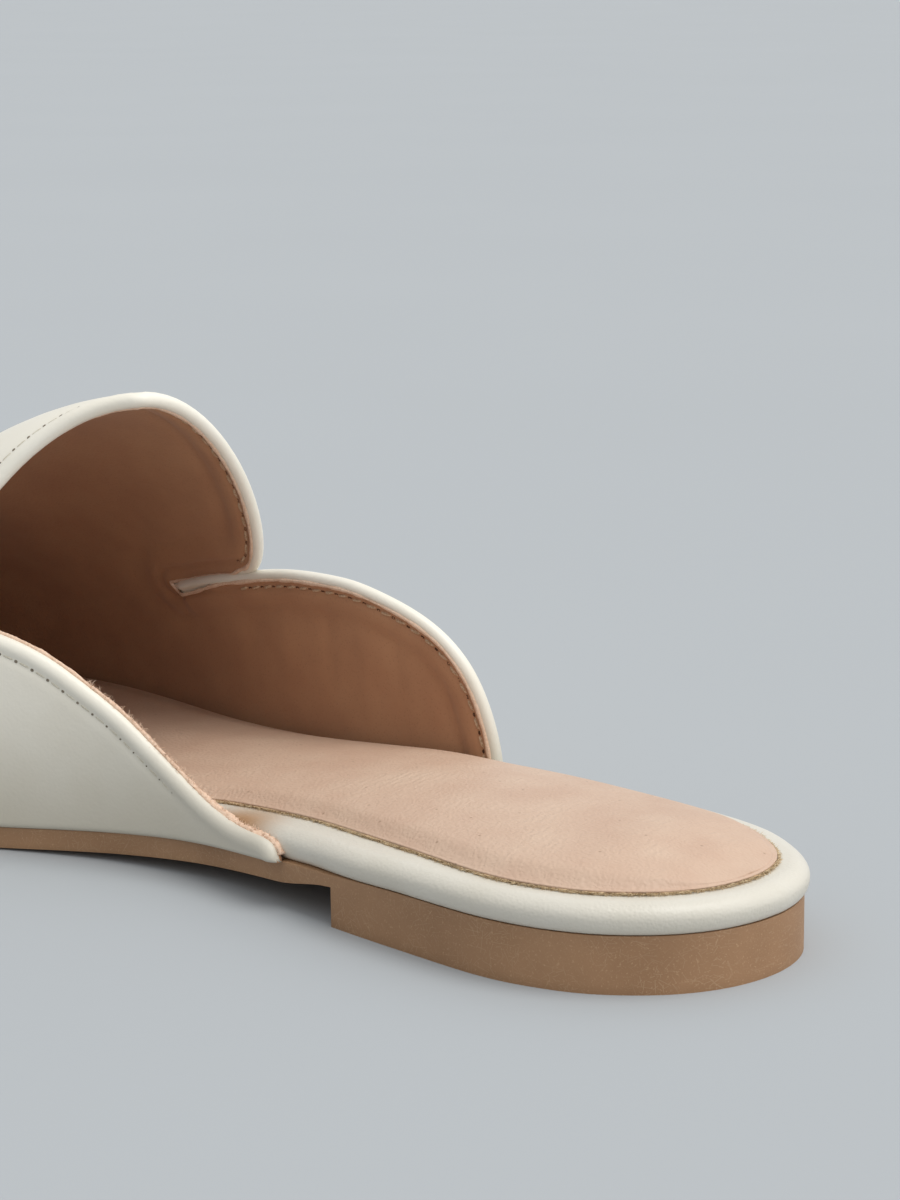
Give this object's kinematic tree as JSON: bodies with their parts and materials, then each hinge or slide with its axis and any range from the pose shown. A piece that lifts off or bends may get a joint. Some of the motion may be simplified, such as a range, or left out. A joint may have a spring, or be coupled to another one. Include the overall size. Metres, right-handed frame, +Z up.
{
  "type": "mule shoe",
  "caption": "Flat backless slip-on shoe with a high rounded tab, slit sides, a wrapped footbed rim and a low heel block.",
  "frame": {"origin": "on the floor, under the middle of the shoe's bounding box", "axes": "+X from the heel to the toe, +Y to the inner side of the foot (the wearer's left), +Z up"},
  "size_m": [0.2716, 0.0838, 0.0765],
  "materials": {
    "outsole": "satin brown moulded rubber",
    "footbed": "smooth cream leather over board",
    "insole": "matt tan sock lining over foam",
    "upper": "smooth cream leather, lined"
  },
  "bodies": {
    "root": {"outsole": "outsole", "footbed": "footbed", "insole": "insole", "upper": "upper"}
  },
  "joints": []
}
